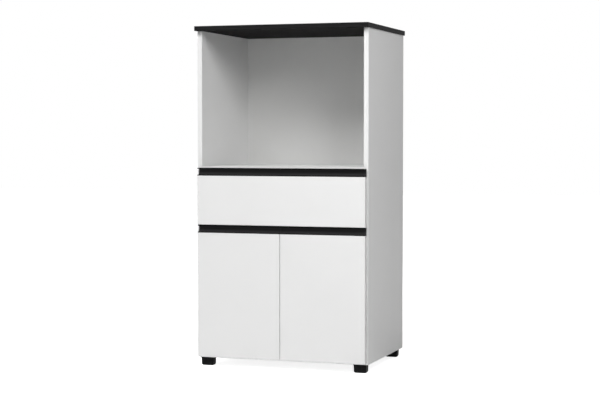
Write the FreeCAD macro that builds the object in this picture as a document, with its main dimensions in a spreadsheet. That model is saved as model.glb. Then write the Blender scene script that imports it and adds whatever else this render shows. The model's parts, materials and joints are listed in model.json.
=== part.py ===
import FreeCAD, Part
import os
import Sketcher
from FreeCAD import Placement, Rotation, Vector
from types import SimpleNamespace

# Kitchen cabinet: open niche, one drawer on roller slides, two doors on cup hinges.
# Millimetres. +Z up, +X to the right seen from the front, the front looks along -Y.
# The origin lies on the floor under the middle of the whole cabinet.

# Driving sizes, one row each in the sheet
SIZE_TABLE = [
    ("carcass_width", 570.0),
    ("carcass_depth", 415.0),
    ("side_height", 1047.0),
    ("board", 15.0),
    ("edge_round", 0.6),
    ("top_side_overhang", 4.0),
    ("top_front_overhang", 18.5),
    ("top_rear_overhang", 5.0),
    ("back_thickness", 3.0),
    ("back_inset", 1.5),
    ("back_seam", 1.6),
    ("front_gap", 2.5),
    ("front_inset", 5.5),
    ("door_bottom_reveal", 4.0),
    ("door_height", 399.0),
    ("door_middle_gap", 2.0),
    ("drawer_door_gap", 1.2),
    ("drawer_front_height", 156.3),
    ("niche_floor_reveal", 4.5),
    ("handle_height", 25.0),
    ("handle_back", 1.0),
    ("handle_wall", 3.0),
    ("handle_bend", 7.0),
    ("handle_corner", 1.6),
    ("handle_middle_gap", 1.0),
    ("handle_fin", 2.0),
    ("handle_fin_height", 7.0),
    ("foot_height", 27.5),
    ("foot_width", 42.0),
    ("foot_depth", 25.5),
    ("foot_taper", 0.9),
    ("foot_bevel", 3.6),
    ("foot_corner", 1.2),
    ("foot_flange", 2.5),
    ("foot_flange_out", 1.6),
    ("foot_wall", 2.5),
    ("foot_plate", 5.0),
    ("foot_from_side", 7.5),
    ("foot_from_front", 7.0),
    ("foot_from_rear", 17.0),
    ("foot_screw_spacing", 16.0),
    ("foot_screw_shift", 2.0),
    ("inner_shelf_height", 200.0),
    ("inner_shelf_setback", 32.0),
    ("inner_shelf_side_gap", 1.0),
    ("support_from_edge", 45.0),
    ("support_radius", 2.5),
    ("support_in", 8.0),
    ("support_out", 9.0),
    ("support_step", 32.0),
    ("cam_radius", 7.4),
    ("cam_length", 12.0),
    ("cam_setback", 24.0),
    ("cam_from_front", 45.0),
    ("cam_from_rear", 65.0),
    ("cam_cover_radius", 8.5),
    ("cam_cover", 0.7),
    ("bolt_radius", 3.0),
    ("bolt_thread_radius", 2.45),
    ("bolt_thread", 11.0),
    ("dowel_radius", 4.0),
    ("dowel_length", 30.0),
    ("dowel_in_face", 10.0),
    ("dowel_from_bolt", 32.0),
    ("fit", 0.05),
    ("end_play", 0.5),
    ("nail_radius", 0.7),
    ("nail_length", 15.0),
    ("nail_head_radius", 2.2),
    ("nail_head", 0.7),
    ("nail_side_step", 140.0),
    ("nail_from_end", 25.0),
    ("slide_gap", 12.5),
    ("slide_length", 350.0),
    ("slide_from_front", 3.0),
    ("slide_above_divider", 6.0),
    ("rail_sheet", 1.2),
    ("rail_height", 29.2),
    ("rail_flange", 10.6),
    ("rail_lip", 5.0),
    ("roller_radius", 11.5),
    ("roller_width", 6.0),
    ("roller_from_end", 15.0),
    ("roller_gap", 0.3),
    ("axle_radius", 2.0),
    ("axle_head_radius", 3.2),
    ("axle_head", 0.6),
    ("runner_rise", 4.0),
    ("runner_flange_start", 3.0),
    ("slide_screw_first", 34.0),
    ("slide_screw_step", 128.0),
    ("screw_radius", 1.75),
    ("screw_head_radius", 3.4),
    ("screw_head", 1.5),
    ("screw_in_wood", 10.0),
    ("recess_half", 0.45),
    ("recess_reach", 1.9),
    ("recess_depth", 0.9),
    ("drawer_side_height", 120.0),
    ("drawer_bottom_rise", 10.0),
    ("drawer_bottom_thickness", 3.0),
    ("groove_depth", 6.0),
    ("groove_play", 0.2),
    ("drawer_cam_low", 30.0),
    ("drawer_cam_high", 95.0),
    ("drawer_screw_low", 28.0),
    ("drawer_screw_high", 92.0),
    ("long_screw", 45.0),
    ("hinge_end_offset", 70.0),
    ("cup_radius", 17.5),
    ("cup_from_edge", 4.5),
    ("cup_depth", 11.0),
    ("cup_wall", 1.2),
    ("cup_flange", 1.0),
    ("cup_screw_spacing", 48.0),
    ("cup_screw_offset", 5.5),
    ("cup_ear", 1.2),
    ("pivot_a_in", 26.0),
    ("pivot_a_back", 3.8),
    ("pivot_b_in", 16.0),
    ("pivot_b_front", 8.5),
    ("pivot_c_in", 0.0),
    ("pivot_c_front", 4.3),
    ("pivot_d_in", 0.0),
    ("pivot_d_front", 8.6),
    ("pin_radius", 1.25),
    ("stud_end", 0.2),
    ("eye_radius", 2.4),
    ("inner_link_half", 4.2),
    ("layer_gap", 0.3),
    ("fork_play", 1.0),
    ("cheek_start", 4.7),
    ("cheek", 1.2),
    ("outer_link_start", 6.2),
    ("outer_link_sheet", 1.2),
    ("cup_outer_ear_start", 7.7),
    ("plate_line", 37.0),
    ("plate_screw_spacing", 32.0),
    ("plate_base", 2.0),
    ("plate_height", 8.0),
    ("arm_height", 12.0),
    ("arm_rear", 68.0),
    ("bumper_radius", 4.0),
    ("bumper_gap", 0.3),
    ("bumper_from_edge", 12.0),
]
SIDE_NAIL_COUNT = 8
BOARD_NAIL_COUNT = 4
SLIDE_SCREW_COUNT = 3
SUPPORT_ROWS = (-1, 0, 1)
SMALLEST_CUT = 0.01


class Dim:
    """A length that carries its number and the expression that ties it to the sheet."""

    def __init__(self, value, text):
        self.value = value
        self.text = text

    def __add__(self, other):
        other = dim(other)
        return Dim(self.value + other.value, f"({self.text} + {other.text})")

    def __sub__(self, other):
        other = dim(other)
        return Dim(self.value - other.value, f"({self.text} - {other.text})")

    def __mul__(self, other):
        other = dim(other)
        return Dim(self.value * other.value, f"({self.text} * {other.text})")

    def __truediv__(self, other):
        other = dim(other)
        return Dim(self.value / other.value, f"({self.text} / {other.text})")

    def __neg__(self):
        return Dim(-self.value, f"(-1 * {self.text})")

    __radd__ = __add__
    __rmul__ = __mul__

    def __rsub__(self, other):
        return dim(other) - self


def dim(number):
    if isinstance(number, Dim):
        return number
    return Dim(float(number), f"({float(number)})")


doc = FreeCAD.newDocument("Cabinet")
sheet = doc.addObject("Spreadsheet::Sheet", "Sizes")
S = SimpleNamespace()
for row, (alias, number) in enumerate(SIZE_TABLE, start=1):
    sheet.set(f"A{row}", alias)
    sheet.set(f"B{row}", str(number))
    sheet.setAlias(f"B{row}", alias)
    setattr(S, alias, Dim(number, f"Sizes.{alias}"))
doc.recompute()

PLANES = {"x": "YZ_Plane", "y": "XZ_Plane", "z": "XY_Plane"}
TURNS = {
    "+x": Rotation(Vector(0, 1, 0), 90),
    "-x": Rotation(Vector(0, 1, 0), -90),
    "+y": Rotation(Vector(1, 0, 0), -90),
    "-y": Rotation(Vector(1, 0, 0), 90),
    "+z": Rotation(),
    "-z": Rotation(Vector(1, 0, 0), 180),
}
nodes = []
cuts = []


# Sketches and features

def bind_place(thing, place):
    for axis, value in zip("xyz", place):
        thing.setExpression(f"Placement.Base.{axis}", dim(value).text)


def new_body(label, place=(0, 0, 0), kept=True):
    body = doc.addObject("PartDesign::Body", label)
    body.Label = label
    bind_place(body, place)
    if kept:
        nodes.append(body)
    return body


def sketch_on(body, axis, level):
    """A sketch square to the axis at the level; an XZ sketch looks along -Y."""
    sketch = body.newObject("Sketcher::SketchObject", f"{body.Name}_sketch")
    plane = next(f for f in body.Origin.OriginFeatures if f.Role == PLANES[axis])
    sketch.AttachmentSupport = (plane, [""])
    sketch.MapMode = "FlatFace"
    level = dim(level)
    offset = -level if axis == "y" else level
    sketch.setExpression("AttachmentOffset.Base.z", offset.text)
    return sketch


def pin_point(sketch, geometry, end, u, v):
    for kind, value in (("DistanceX", dim(u)), ("DistanceY", dim(v))):
        index = sketch.addConstraint(Sketcher.Constraint(kind, -1, 1, geometry, end, value.value))
        sketch.setExpression(f"Constraints[{index}]", value.text)


def draw_outline(sketch, points):
    corners = [Vector(dim(u).value, dim(v).value, 0) for u, v in points]
    first = sketch.GeometryCount
    count = len(corners)
    for i in range(count):
        sketch.addGeometry(Part.LineSegment(corners[i], corners[(i + 1) % count]), False)
    for i in range(count):
        sketch.addConstraint(Sketcher.Constraint("Coincident", first + i, 2, first + (i + 1) % count, 1))
    for i, (u, v) in enumerate(points):
        pin_point(sketch, first + i, 1, u, v)


def draw_circle(sketch, u, v, radius):
    radius = dim(radius)
    centre = Vector(dim(u).value, dim(v).value, 0)
    index = sketch.addGeometry(Part.Circle(centre, Vector(0, 0, 1), radius.value), False)
    pin_point(sketch, index, 3, u, v)
    constraint = sketch.addConstraint(Sketcher.Constraint("Radius", index, radius.value))
    sketch.setExpression(f"Constraints[{constraint}]", radius.text)


def draw_all(sketch, outlines, circles):
    for points in outlines:
        draw_outline(sketch, points)
    for u, v, radius in circles:
        draw_circle(sketch, u, v, radius)


def add_pad(body, axis, start, length, outlines=(), circles=()):
    """Material from start towards the positive axis."""
    sketch = sketch_on(body, axis, start)
    draw_all(sketch, outlines, circles)
    pad = body.newObject("PartDesign::Pad", f"{body.Name}_pad")
    pad.Profile = sketch
    pad.setExpression("Length", dim(length).text)
    pad.Reversed = axis == "y"
    return pad


def add_cut(body, axis, start, depth, toward, outlines=(), circles=()):
    """A pocket from start; toward is 1 for the positive axis and -1 for the negative."""
    sketch = sketch_on(body, axis, start)
    draw_all(sketch, outlines, circles)
    pocket = body.newObject("PartDesign::Pocket", f"{body.Name}_pocket")
    pocket.Profile = sketch
    pocket.setExpression("Length", dim(depth).text)
    pocket.Reversed = (toward > 0) != (axis == "y")
    cuts.append(pocket)
    return pocket


def add_turned(body, profile):
    """Turns a half outline of (radius, height) points about the Z axis."""
    sketch = sketch_on(body, "y", 0)
    draw_outline(sketch, profile)
    turned = body.newObject("PartDesign::Revolution", f"{body.Name}_turned")
    turned.Profile = sketch
    turned.ReferenceAxis = (sketch, ["V_Axis"])
    turned.Angle = 360
    return turned


def round_edges(body, feature, picks, radius):
    """Rounds the feature's edges whose middle the test picks."""
    doc.recompute()
    names = []
    for number, edge in enumerate(feature.Shape.Edges, start=1):
        box = edge.BoundBox
        if picks(box.Center, edge):
            names.append(f"Edge{number}")
    fillet = body.newObject("PartDesign::Fillet", f"{body.Name}_round")
    fillet.Base = (feature, names)
    fillet.setExpression("Radius", radius.text)
    return fillet


def rectangle(u0, v0, u1, v1):
    return [(u0, v0), (u1, v0), (u1, v1), (u0, v1)]


def cross(reach, half):
    """A cross about the origin with arms of the given reach and half width."""
    return [(-reach, -half), (-half, -half), (-half, -reach), (half, -reach), (half, -half),
            (reach, -half), (reach, half), (half, half), (half, reach), (-half, reach),
            (-half, half), (-reach, half)]


def group(label, members):
    """One node of alike pieces: each member is (prototype, direction, place)."""
    links = []
    for number, (prototype, direction, place) in enumerate(members, start=1):
        link = doc.addObject("App::Link", f"{label}_{number}")
        link.LinkedObject = prototype
        link.Placement = Placement(Vector(0, 0, 0), TURNS[direction])
        bind_place(link, place)
        links.append(link)
    compound = doc.addObject("Part::Compound", label)
    compound.Label = label
    compound.Links = links
    nodes.append(compound)
    return compound


# Places that several pieces share

x_out = S.carcass_width / 2
x_in = x_out - S.board
inner_width = S.carcass_width - 2 * S.board
y_front = (S.top_front_overhang - S.carcass_depth - S.top_rear_overhang) / 2
y_rear = y_front + S.carcass_depth
y_face = y_front - S.front_gap - S.board
z_base = S.foot_height

# Heights above the side panels' lower edge
door_top = S.door_bottom_reveal + S.door_height
door_handle_top = door_top + S.handle_height
drawer_front_low = door_handle_top + S.drawer_door_gap
drawer_front_top = drawer_front_low + S.drawer_front_height
drawer_handle_top = drawer_front_top + S.handle_height
niche_floor = drawer_handle_top + S.niche_floor_reveal
niche_shelf_low = niche_floor - S.board
divider_low = door_handle_top - S.board
slide_low = door_handle_top + S.slide_above_divider

# Places along the depth, from the side panels' front edge
bolt_lines = (S.cam_from_front, S.carcass_depth - S.cam_from_rear)
dowel_lines = (
    S.cam_from_front + S.dowel_from_bolt,
    S.carcass_depth - S.cam_from_rear - S.dowel_from_bolt,
)
fixed_board_heights = (0 * S.board, divider_low, niche_shelf_low)
hinge_heights = (
    S.door_bottom_reveal + S.hinge_end_offset,
    S.door_bottom_reveal + S.door_height - S.hinge_end_offset,
)
slide_screw_lines = [S.slide_screw_first + step * S.slide_screw_step for step in range(SLIDE_SCREW_COUNT)]
support_lines = (
    S.inner_shelf_setback + S.support_from_edge,
    S.carcass_depth - S.support_from_edge,
)
roller_height = S.rail_sheet + S.roller_gap + S.roller_radius
runner_flange_low = roller_height + S.roller_radius + S.roller_gap
drawer_side_low = S.runner_rise + S.rail_sheet

bolt_bore = S.bolt_radius + S.end_play
cam_bore = S.cam_radius + S.fit
dowel_bore = S.dowel_radius + S.fit
thread_bore = S.bolt_thread_radius + S.fit
thread_depth = S.bolt_thread + S.end_play
dowel_depth = S.dowel_in_face + S.end_play
dowel_end_depth = S.dowel_length - S.dowel_in_face + S.end_play
screw_bore = S.screw_radius + S.fit
bolt_depth = S.cam_setback + S.bolt_radius


# Boards of the carcass

def box_body(label, place, size, rounded="none"):
    """A board from its own lower front left corner."""
    width, depth, height = size
    body = new_body(label, place)
    pad = add_pad(body, "z", 0, height, [rectangle(0, 0, width, depth)])
    if rounded == "all":
        round_edges(body, pad, lambda middle, edge: True, S.edge_round)
    if rounded == "front":
        round_edges(body, pad, lambda middle, edge: abs(middle.y) < S.fit.value, S.edge_round)
    return body


def make_top_panel():
    width = S.carcass_width + 2 * S.top_side_overhang
    depth = S.carcass_depth + S.top_front_overhang + S.top_rear_overhang
    place = (-width / 2, y_front - S.top_front_overhang, z_base + S.side_height)
    body = box_body("top_panel", place, (width, depth, S.board), "all")
    over_side = S.top_side_overhang + S.board / 2
    columns = (over_side, width - over_side)
    bolts = [(x, S.top_front_overhang + y, thread_bore) for x in columns for y in bolt_lines]
    dowels = [(x, S.top_front_overhang + y, dowel_bore) for x in columns for y in dowel_lines]
    add_cut(body, "z", 0, thread_depth, 1, circles=bolts)
    add_cut(body, "z", 0, dowel_depth, 1, circles=dowels)


def make_side_panel(side):
    """side is -1 on the left and 1 on the right."""
    label = "side_panel_left" if side < 0 else "side_panel_right"
    place = (-x_out if side < 0 else x_in, y_front, z_base)
    body = box_body(label, place, (S.board, S.carcass_depth, S.side_height), "front")
    inner = S.board if side < 0 else dim(0)
    middles = [height + S.board / 2 for height in fixed_board_heights]
    threads = [(y, z, thread_bore) for y in bolt_lines for z in middles]
    dowels = [(y, z, dowel_bore) for y in dowel_lines for z in middles]
    cams = [(y, S.side_height - S.cam_setback, cam_bore) for y in bolt_lines]
    rail_screws = [(S.slide_from_front + y, slide_low + S.rail_height / 2, screw_bore)
                   for y in slide_screw_lines]
    plate_screws = [(S.plate_line, z + end * S.plate_screw_spacing / 2, screw_bore)
                    for z in hinge_heights for end in (-1, 1)]
    supports = [(y, S.inner_shelf_height - S.support_radius + row * S.support_step,
                 S.support_radius + S.fit)
                for y in support_lines for row in SUPPORT_ROWS]
    add_cut(body, "x", inner, thread_depth, side, circles=threads)
    add_cut(body, "x", inner, dowel_depth, side, circles=dowels)
    add_cut(body, "x", inner, S.cam_length + S.end_play, side, circles=cams)
    add_cut(body, "x", inner, S.screw_in_wood + S.end_play, side, circles=rail_screws + plate_screws)
    add_cut(body, "x", inner, S.support_in + S.end_play, side, circles=supports)
    top_bolts = [(S.board / 2, y, bolt_bore) for y in bolt_lines]
    top_dowels = [(S.board / 2, y, dowel_bore) for y in dowel_lines]
    add_cut(body, "z", S.side_height, bolt_depth, -1, circles=top_bolts)
    add_cut(body, "z", S.side_height, dowel_end_depth, -1, circles=top_dowels)
    nails = [(S.board / 2, z, S.nail_radius + S.fit) for z in side_nail_heights]
    add_cut(body, "y", S.carcass_depth, S.nail_length, -1, circles=nails)


def make_fixed_board(label, height):
    """A board between the side panels, held by cams and dowels in its ends."""
    body = box_body(label, (-x_in, y_front, z_base + height),
                    (inner_width, S.carcass_depth, S.board), "front")
    for end, toward in ((dim(0), 1), (inner_width, -1)):
        add_cut(body, "x", end, bolt_depth, toward,
                circles=[(y, S.board / 2, bolt_bore) for y in bolt_lines])
        add_cut(body, "x", end, dowel_end_depth, toward,
                circles=[(y, S.board / 2, dowel_bore) for y in dowel_lines])
    cams = [(x, y, cam_bore) for x in (S.cam_setback, inner_width - S.cam_setback) for y in bolt_lines]
    add_cut(body, "z", 0, S.cam_length + S.end_play, 1, circles=cams)
    return body


def make_bottom_panel():
    body = make_fixed_board("bottom_panel", fixed_board_heights[0])
    screws = []
    for x in foot_screw_columns:
        for y in foot_screw_lines:
            screws.append((x + x_in, y, screw_bore))
    add_cut(body, "z", 0, S.screw_in_wood + S.end_play, 1, circles=screws)
    nails = [(x + x_in, S.board / 2, S.nail_radius + S.fit) for x in board_nail_columns]
    add_cut(body, "y", S.carcass_depth, S.nail_length, -1, circles=nails)


def make_niche_shelf():
    body = make_fixed_board("niche_shelf", niche_shelf_low)
    nails = [(x + x_in, z, S.nail_radius + S.fit)
             for x in board_nail_columns for z in niche_nail_heights]
    add_cut(body, "y", S.carcass_depth, S.nail_length, -1, circles=nails)


def make_inner_shelf():
    width = inner_width - 2 * S.inner_shelf_side_gap
    depth = S.carcass_depth - S.inner_shelf_setback
    place = (-width / 2, y_front + S.inner_shelf_setback, z_base + S.inner_shelf_height)
    box_body("inner_shelf", place, (width, depth, S.board), "front")


# Back sheets and their nails

niche_nail_heights = (S.board / 4, S.board * 3 / 4)
board_nail_step = inner_width / BOARD_NAIL_COUNT
board_nail_columns = [(step + 0.5) * board_nail_step - inner_width / 2
                      for step in range(BOARD_NAIL_COUNT)]
side_nail_heights = [S.nail_from_end + step * S.nail_side_step for step in range(SIDE_NAIL_COUNT)]
sheet_seam = niche_shelf_low + S.board / 2


def make_back_panel(label, low, high, nail_places):
    width = S.carcass_width - 2 * S.back_inset
    body = new_body(label, (-width / 2, y_rear, z_base + low))
    add_pad(body, "z", 0, high - low, [rectangle(0, 0, width, S.back_thickness)])
    holes = [(x + width / 2, z - low, S.nail_radius + S.fit) for x, z in nail_places]
    add_cut(body, "y", 0, S.back_thickness, 1, circles=holes)


def nail_places_between(low, high):
    """Nails into both side panels between two heights."""
    rows = [z for z in side_nail_heights if low.value < z.value < high.value]
    return [(side * (x_out - S.board / 2), z) for side in (-1, 1) for z in rows]


def make_backs():
    low = S.back_inset
    seam_low = sheet_seam - S.back_seam / 2
    seam_high = sheet_seam + S.back_seam / 2
    lower = nail_places_between(low, seam_low)
    lower += [(x, S.board / 2) for x in board_nail_columns]
    lower += [(x, niche_shelf_low + niche_nail_heights[0]) for x in board_nail_columns]
    upper = nail_places_between(seam_high, S.side_height)
    upper += [(x, niche_shelf_low + niche_nail_heights[1]) for x in board_nail_columns]
    make_back_panel("back_panel_lower", low, seam_low, lower)
    make_back_panel("back_panel_upper", seam_high, S.side_height, upper)
    nail = new_body("nail", kept=False)
    radius = S.nail_radius
    add_turned(nail, [(0, -S.nail_length), (radius, radius - S.nail_length), (radius, 0),
                      (S.nail_head_radius, 0), (S.nail_head_radius, S.nail_head), (0, S.nail_head)])
    members = [(nail, "+y", (x, y_rear + S.back_thickness, z_base + z)) for x, z in lower + upper]
    group("back_nails", members)


# Feet

foot_middle_x = x_out - S.foot_from_side - S.foot_width / 2
foot_screw_middle = foot_middle_x - S.foot_screw_shift
foot_screw_columns = [side * (foot_screw_middle + end * S.foot_screw_spacing / 2)
                      for side in (-1, 1) for end in (-1, 1)]
foot_screw_lines = (
    S.foot_from_front + S.foot_depth / 2,
    S.carcass_depth - S.foot_from_rear - S.foot_depth / 2,
)


def make_foot(label, side, line):
    """A hollow foot: a bevelled lower end, four nearly upright walls and a flange on top."""
    body = new_body(label, (side * foot_middle_x, y_front + line, 0))
    half_x = S.foot_width / 2
    half_y = S.foot_depth / 2
    flange_low = S.foot_height - S.foot_flange
    levels = ((0, S.foot_taper + S.foot_bevel), (S.foot_bevel, S.foot_taper), (flange_low, 0))
    outlines = []
    for height, inset in levels:
        sketch = sketch_on(body, "z", height)
        draw_outline(sketch, rectangle(inset - half_x, inset - half_y, half_x - inset, half_y - inset))
        outlines.append(sketch)
    loft = body.newObject("PartDesign::AdditiveLoft", f"{label}_loft")
    loft.Profile = outlines[0]
    loft.Sections = outlines[1:]
    loft.Ruled = True

    taller_than_bevel = (S.foot_bevel + S.fit).value

    def is_wall_corner(middle, edge):
        return edge.BoundBox.ZLength > taller_than_bevel

    round_edges(body, loft, is_wall_corner, S.foot_corner)
    flange_x = half_x + S.foot_flange_out
    flange_y = half_y + S.foot_flange_out
    add_pad(body, "z", flange_low, S.foot_flange, [rectangle(-flange_x, -flange_y, flange_x, flange_y)])
    hollow_x = half_x - S.foot_taper - S.foot_bevel - S.foot_wall
    hollow_y = half_y - S.foot_taper - S.foot_bevel - S.foot_wall
    add_cut(body, "z", 0, S.foot_height - S.foot_plate, 1,
            [rectangle(-hollow_x, -hollow_y, hollow_x, hollow_y)])
    screws = [(side * (end * S.foot_screw_spacing / 2 - S.foot_screw_shift), 0, screw_bore)
              for end in (-1, 1)]
    add_cut(body, "z", S.foot_height, 2 * S.foot_plate, -1, circles=screws)


def make_feet():
    for side, side_name in ((-1, "left"), (1, "right")):
        for line, line_name in zip(foot_screw_lines, ("front", "rear")):
            make_foot(f"foot_{line_name}_{side_name}", side, line)
    screw = make_screw("foot_screw", S.screw_in_wood + S.foot_plate)
    head_z = S.foot_height - S.foot_plate
    members = [(screw, "-z", (x, y_front + y, head_z))
               for x in foot_screw_columns for y in foot_screw_lines]
    group("foot_screws", members)


# Fasteners, each turned about its own axis; the head's seat is at height 0 and the head above it

def make_screw(label, length):
    """A pan head screw with a cross recess that points down from its seat."""
    screw = new_body(label, kept=False)
    radius = S.screw_radius
    head = S.screw_head_radius
    add_turned(screw, [(0, -length), (radius, -length + radius), (radius, 0), (head, 0),
                       (head, S.screw_head / 2), (head - S.screw_head / 2, S.screw_head),
                       (0, S.screw_head)])
    add_cut(screw, "z", S.screw_head, S.recess_depth, -1, [cross(S.recess_reach, S.recess_half)])
    return screw


def make_cam():
    """A cam lock whose face is at height 0; it is bored from the side for the bolt's head."""
    cam = new_body("cam", kept=False)
    radius = S.cam_radius
    add_turned(cam, [(0, -S.cam_length), (radius, -S.cam_length), (radius, 0), (0, 0)])
    add_cut(cam, "x", bolt_bore, 2 * radius, -1,
            circles=[(0, -S.board / 2, bolt_bore)])
    slot = S.cam_radius / 6
    reach = S.cam_radius * 2 / 3
    add_cut(cam, "z", 0, 2 * slot, -1, [cross(reach, slot)])
    return cam


def make_cam_cover():
    """A thin white cap over a cam that would show inside the niche."""
    cover = new_body("cam_cover", kept=False)
    radius = S.cam_cover_radius
    bevel = S.cam_cover / 2
    high = S.cam_cover
    add_turned(cover, [(0, 0), (radius, 0), (radius, bevel), (radius - bevel, high), (0, high)])
    return cover


def make_cam_bolt():
    """A bolt that stands up from the board's face at height 0 and ends in the cam."""
    bolt = new_body("cam_bolt", kept=False)
    thread = S.bolt_thread_radius
    shank = S.bolt_radius
    neck = shank * 2 / 3
    middle = S.cam_setback
    add_turned(bolt, [(0, -S.bolt_thread), (thread, -S.bolt_thread), (thread, 0), (shank, 0),
                      (shank, middle - 2 * shank), (neck, middle - 2 * shank), (neck, middle - shank / 2),
                      (shank, middle - shank / 2), (shank, middle + shank / 2), (0, middle + shank / 2)])
    return bolt


def make_dowel():
    """A dowel from height -dowel_in_face in the bored face up into the other board's end."""
    dowel = new_body("dowel", kept=False)
    radius = S.dowel_radius
    low = -S.dowel_in_face
    high = S.dowel_length - S.dowel_in_face
    bevel = radius / 4
    add_turned(dowel, [(0, low), (radius - bevel, low), (radius, low + bevel), (radius, high - bevel),
                       (radius - bevel, high), (0, high)])
    return dowel


def make_board_fasteners():
    cam = make_cam()
    bolt = make_cam_bolt()
    dowel = make_dowel()
    cover = make_cam_cover()
    cams = []
    covers = []
    bolts = []
    dowels = []
    for side, direction in ((-1, "+x"), (1, "-x")):
        for height in fixed_board_heights:
            middle = z_base + height + S.board / 2
            for y in bolt_lines:
                bolts.append((bolt, direction, (side * x_in, y_front + y, middle)))
                cams.append((cam, "cam" + direction,
                             (side * (x_in - S.cam_setback), y_front + y, z_base + height)))
            for y in dowel_lines:
                dowels.append((dowel, direction, (side * x_in, y_front + y, middle)))
        column = side * (x_out - S.board / 2)
        top = z_base + S.side_height
        for y in bolt_lines:
            bolts.append((bolt, "-z", (column, y_front + y, top)))
            cam_place = (side * x_in, y_front + y, top - S.cam_setback)
            cams.append((cam, "top_cam" + direction, cam_place))
            covers.append((cover, direction, cam_place))
        for y in dowel_lines:
            dowels.append((dowel, "-z", (column, y_front + y, top)))
    group("cam_locks", cams)
    group("cam_covers", covers)
    group("cam_bolts", bolts)
    group("dowels", dowels)
    return cam, bolt


# A cam's bore looks along its own -X; these turns point it at the side panel or at the top
TURNS["cam+x"] = Rotation(Vector(0, 1, 0), 180) * Rotation(Vector(0, 0, 1), 180)
TURNS["cam-x"] = Rotation(Vector(0, 1, 0), 180)
TURNS["top_cam+x"] = Rotation(Vector(0, 1, 0), 90)
TURNS["top_cam-x"] = Rotation(Vector(0, 1, 0), -90) * Rotation(Vector(0, 0, 1), 180)
TURNS["drawer_cam+x"] = Rotation(Vector(1, 0, 0), 90) * Rotation(Vector(0, 1, 0), 90)
TURNS["drawer_cam-x"] = Rotation(Vector(1, 0, 0), -90) * Rotation(Vector(0, 1, 0), -90)


def make_shelf_supports():
    support = new_body("shelf_support", kept=False)
    radius = S.support_radius
    bevel = radius / 4
    add_turned(support, [(0, -S.support_in), (radius, -S.support_in), (radius, S.support_out - bevel),
                         (radius - bevel, S.support_out), (0, S.support_out)])
    height = z_base + S.inner_shelf_height - radius
    members = [(support, direction, (side * x_in, y_front + y, height))
               for side, direction in ((-1, "+x"), (1, "-x")) for y in support_lines]
    group("shelf_supports", members)


# Drawer slides; distances into the cabinet count from the side panel's inner face

roller_in = S.runner_flange_start + S.axle_head + S.roller_gap
web_in = S.slide_gap - S.rail_sheet


def make_slide_rail(side):
    """The rail on the side panel: web, lower track, upper lip and the front roller's axle."""
    label = "slide_rail_left" if side < 0 else "slide_rail_right"
    body = new_body(label, (side * x_in, y_front + S.slide_from_front, z_base + slide_low))
    sheet_edge = S.rail_height - S.rail_sheet
    section = [(0, 0), (S.rail_flange, 0), (S.rail_flange, S.rail_sheet), (S.rail_sheet, S.rail_sheet),
               (S.rail_sheet, sheet_edge), (S.rail_lip, sheet_edge), (S.rail_lip, S.rail_height),
               (0, S.rail_height)]
    add_pad(body, "y", 0, S.slide_length, [[(-side * u, v) for u, v in section]])
    axle = [(S.roller_from_end, roller_height, S.axle_radius)]
    head = [(S.roller_from_end, roller_height, S.axle_head_radius)]
    roller_end = roller_in + S.roller_width + S.roller_gap
    pads = ((dim(0), roller_end + S.axle_head, axle), (roller_end, S.axle_head, head))
    for start, length, circles in pads:
        low = -(start + length) if side > 0 else start
        add_pad(body, "x", low, length, circles=circles)
    holes = [(y, S.rail_height / 2, screw_bore) for y in slide_screw_lines]
    low = -S.rail_sheet if side > 0 else dim(0)
    add_cut(body, "x", low, S.rail_sheet, 1, circles=holes)


def make_drawer_runner(side):
    """The runner under a drawer side: flange on the front roller, web, ledge, rear roller's axle."""
    label = "drawer_runner_left" if side < 0 else "drawer_runner_right"
    body = new_body(label, (side * x_in, runner_front, z_base + slide_low))
    flange_low = runner_flange_low
    flange_high = flange_low + S.rail_sheet
    ledge_end = S.slide_gap + S.board
    section = [(S.runner_flange_start, flange_low), (web_in, flange_low), (web_in, S.runner_rise),
               (ledge_end, S.runner_rise), (ledge_end, drawer_side_low), (S.slide_gap, drawer_side_low),
               (S.slide_gap, flange_high), (S.runner_flange_start, flange_high)]
    add_pad(body, "y", 0, S.slide_length, [[(-side * u, v) for u, v in section]])
    line = S.slide_length - S.roller_from_end
    head_start = S.runner_flange_start
    pads = ((head_start, web_in - head_start, [(line, roller_height, S.axle_radius)]),
            (head_start, S.axle_head, [(line, roller_height, S.axle_head_radius)]))
    for start, length, circles in pads:
        low = -(start + length) if side > 0 else start
        add_pad(body, "x", low, length, circles=circles)
    column = -side * (S.slide_gap + S.board / 2)
    holes = [(column, y, screw_bore) for y in slide_screw_lines]
    add_cut(body, "z", S.runner_rise, S.rail_sheet, 1, circles=holes)


def make_roller(label, side, line):
    """A nylon roller about the X axis with a running fit on its axle."""
    place = (side * (x_in - roller_in), line, z_base + slide_low + roller_height)
    body = new_body(label, place)
    low = dim(0) if side < 0 else -S.roller_width
    pad = add_pad(body, "x", low, S.roller_width, circles=[(0, 0, S.roller_radius)])
    round_edges(body, pad, lambda middle, edge: True, S.edge_round)
    add_cut(body, "x", low, S.roller_width, 1, circles=[(0, 0, S.axle_radius + S.fit)])
    rim = S.roller_radius * 3 / 4
    hub = S.roller_radius / 3
    face = S.roller_width if side < 0 else -S.roller_width
    add_cut(body, "x", face, S.roller_width / 6, side,
            circles=[(0, 0, rim), (0, 0, hub)])


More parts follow.
